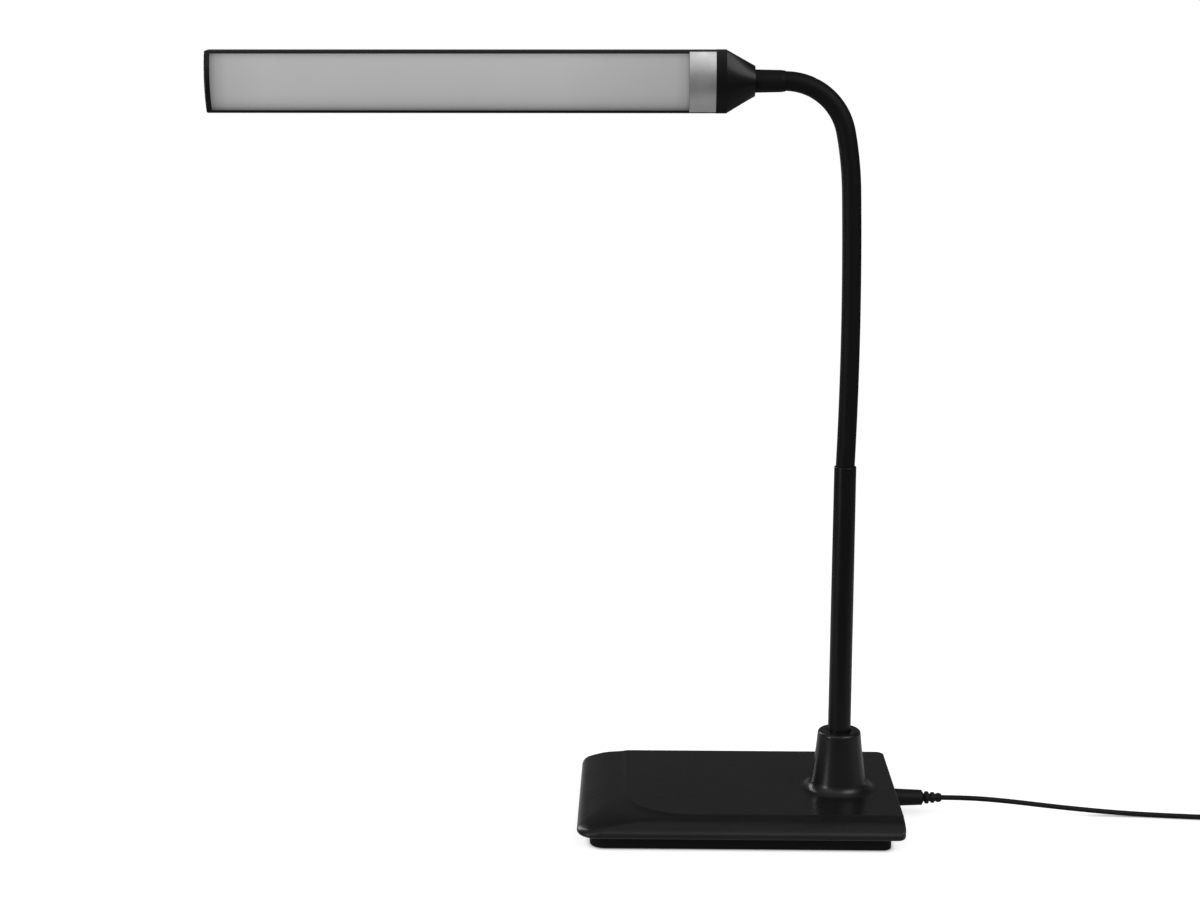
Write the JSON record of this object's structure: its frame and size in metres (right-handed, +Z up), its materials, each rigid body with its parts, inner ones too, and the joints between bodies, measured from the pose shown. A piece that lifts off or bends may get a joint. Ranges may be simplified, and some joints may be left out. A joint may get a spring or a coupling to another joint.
{
  "type": "gooseneck desk lamp",
  "caption": "Black desk lamp: flat weighted base, flexible neck bending over to a level bar light with opal diffuser and brushed band, barrel plug and lead with wall adapter.",
  "frame": {"origin": "middle of the base's footprint on the table, which is the middle of the non-slip pad's underside", "axes": "+X along the base, from the light's free end towards the power lead; +Y away from the user; +Z up"},
  "size_m": [0.8683, 0.127, 0.4518],
  "materials": {
    "base_plastic": "satin black moulding",
    "pad_rubber": "matt",
    "plated_steel": "zinc plated",
    "weight_iron": "raw",
    "board_laminate": "solder mask green",
    "component_plastic": "matt",
    "steel_tube": "drawn",
    "post_plastic": "gloss black",
    "neck_rubber": "satin black sleeve",
    "wire_insulation": "pvc",
    "head_plastic": "satin black moulding",
    "brushed_band": "brushed along its height",
    "contact_brass": "bright",
    "opal": "milky opal, unlit",
    "white_laminate": "white solder mask",
    "led_package": "phosphor",
    "lead_rubber": "black pvc",
    "contact_nickel": "nickel plated",
    "adapter_plastic": "fine texture"
  },
  "bodies": {
    "base": {"base_housing": "base_plastic", "base_plate": "base_plastic", "rubber_pad": "pad_rubber", "base_screws": "plated_steel", "counterweight": "weight_iron", "control_board": "board_laminate", "board_screws": "plated_steel", "board_components": "component_plastic", "dc_jack": "component_plastic", "post_tube": "steel_tube", "post_sleeve": "post_plastic", "post_nut": "plated_steel", "post_washer": "plated_steel", "base_wire": "wire_insulation", "neck_wire": "wire_insulation", "plug_body": "lead_rubber", "plug_barrel": "contact_nickel", "lead_cord": "lead_rubber", "lead_coil": "lead_rubber", "lead_tail": "lead_rubber", "adapter_case": "adapter_plastic", "adapter_prongs": "contact_nickel"},
    "neck_link_1": {"neck_sleeve_1": "neck_rubber", "neck_hose_1": "steel_tube"},
    "neck_link_2": {"neck_sleeve_2": "neck_rubber", "neck_hose_2": "steel_tube"},
    "neck_link_3": {"neck_sleeve_3": "neck_rubber", "neck_hose_3": "steel_tube"},
    "neck_link_4": {"neck_sleeve_4": "neck_rubber", "neck_hose_4": "steel_tube"},
    "neck_link_5": {"neck_sleeve_5": "neck_rubber", "neck_hose_5": "steel_tube"},
    "neck_link_6": {"neck_sleeve_6": "neck_rubber", "neck_hose_6": "steel_tube"},
    "neck_link_7": {"neck_sleeve_7": "neck_rubber", "neck_hose_7": "steel_tube"},
    "neck_link_8": {"neck_sleeve_8": "neck_rubber", "neck_hose_8": "steel_tube"},
    "neck_link_9": {"neck_sleeve_9": "neck_rubber", "neck_hose_9": "steel_tube"},
    "neck_link_10": {"neck_sleeve_10": "neck_rubber", "neck_hose_10": "steel_tube", "neck_ferrule": "post_plastic", "swivel_spindle": "steel_tube", "swivel_nut": "plated_steel", "swivel_washer": "plated_steel"},
    "head": {"head_cone": "head_plastic", "touch_plate": "brushed_band", "touch_board": "board_laminate", "touch_contact": "contact_brass", "head_shell": "head_plastic", "diffuser": "opal", "led_board": "white_laminate", "leds": "led_package", "led_board_screws": "plated_steel", "end_cap": "head_plastic", "head_screws": "plated_steel", "head_wire": "wire_insulation"}
  },
  "joints": [
    {"name": "neck_side_bend", "type": "hinge", "parent": "base", "child": "neck_link_1", "pos_m": [0.0605, 0, 0.21599], "axis": [1, 0, 0], "range_deg": [-15, 15]},
    {"name": "neck_lower_bend", "type": "hinge", "parent": "neck_link_1", "child": "neck_link_2", "pos_m": [0.06132, 0, 0.24723], "axis": [0, 1, 0], "range_deg": [-20, 20]},
    {"name": "neck_side_bend_2", "type": "hinge", "parent": "neck_link_2", "child": "neck_link_3", "pos_m": [0.06172, 0, 0.27847], "axis": [1, 0, 0], "range_deg": [-15, 15]},
    {"name": "neck_lower_bend_2", "type": "hinge", "parent": "neck_link_3", "child": "neck_link_4", "pos_m": [0.06172, 0, 0.30972], "axis": [0, 1, 0], "range_deg": [-20, 20]},
    {"name": "neck_side_bend_3", "type": "hinge", "parent": "neck_link_4", "child": "neck_link_5", "pos_m": [0.06132, 0, 0.34096], "axis": [1, 0, 0], "range_deg": [-15, 15]},
    {"name": "neck_upper_bend", "type": "hinge", "parent": "neck_link_5", "child": "neck_link_6", "pos_m": [0.0605, 0, 0.3722], "axis": [0, 1, 0], "range_deg": [-4, 18], "deforming": ["neck_wire"]},
    {"name": "neck_upper_bend_2", "type": "hinge", "parent": "neck_link_6", "child": "neck_link_7", "pos_m": [0.05925, 0, 0.38912], "axis": [0, 1, 0], "range_deg": [-4, 18]},
    {"name": "neck_upper_bend_3", "type": "hinge", "parent": "neck_link_7", "child": "neck_link_8", "pos_m": [0.05661, 0, 0.40588], "axis": [0, 1, 0], "range_deg": [-4, 18]},
    {"name": "neck_upper_bend_4", "type": "hinge", "parent": "neck_link_8", "child": "neck_link_9", "pos_m": [0.04999, 0, 0.42046], "axis": [0, 1, 0], "range_deg": [-4, 18]},
    {"name": "neck_upper_bend_5", "type": "hinge", "parent": "neck_link_9", "child": "neck_link_10", "pos_m": [0.0376, 0, 0.43062], "axis": [0, 1, 0], "range_deg": [-4, 18]},
    {"name": "head_swivel", "type": "hinge", "parent": "neck_link_10", "child": "head", "pos_m": [0, 0, 0.43426], "axis": [1, 0, 0], "range_deg": [-90, 90]}
  ],
  "couplings": [
    {"joint": "neck_side_bend_2", "follows": "neck_side_bend", "ratio": 1},
    {"joint": "neck_lower_bend_2", "follows": "neck_lower_bend", "ratio": 1},
    {"joint": "neck_side_bend_3", "follows": "neck_side_bend", "ratio": 1},
    {"joint": "neck_upper_bend_2", "follows": "neck_upper_bend", "ratio": 1},
    {"joint": "neck_upper_bend_3", "follows": "neck_upper_bend", "ratio": 1},
    {"joint": "neck_upper_bend_4", "follows": "neck_upper_bend", "ratio": 1},
    {"joint": "neck_upper_bend_5", "follows": "neck_upper_bend", "ratio": 1}
  ]
}
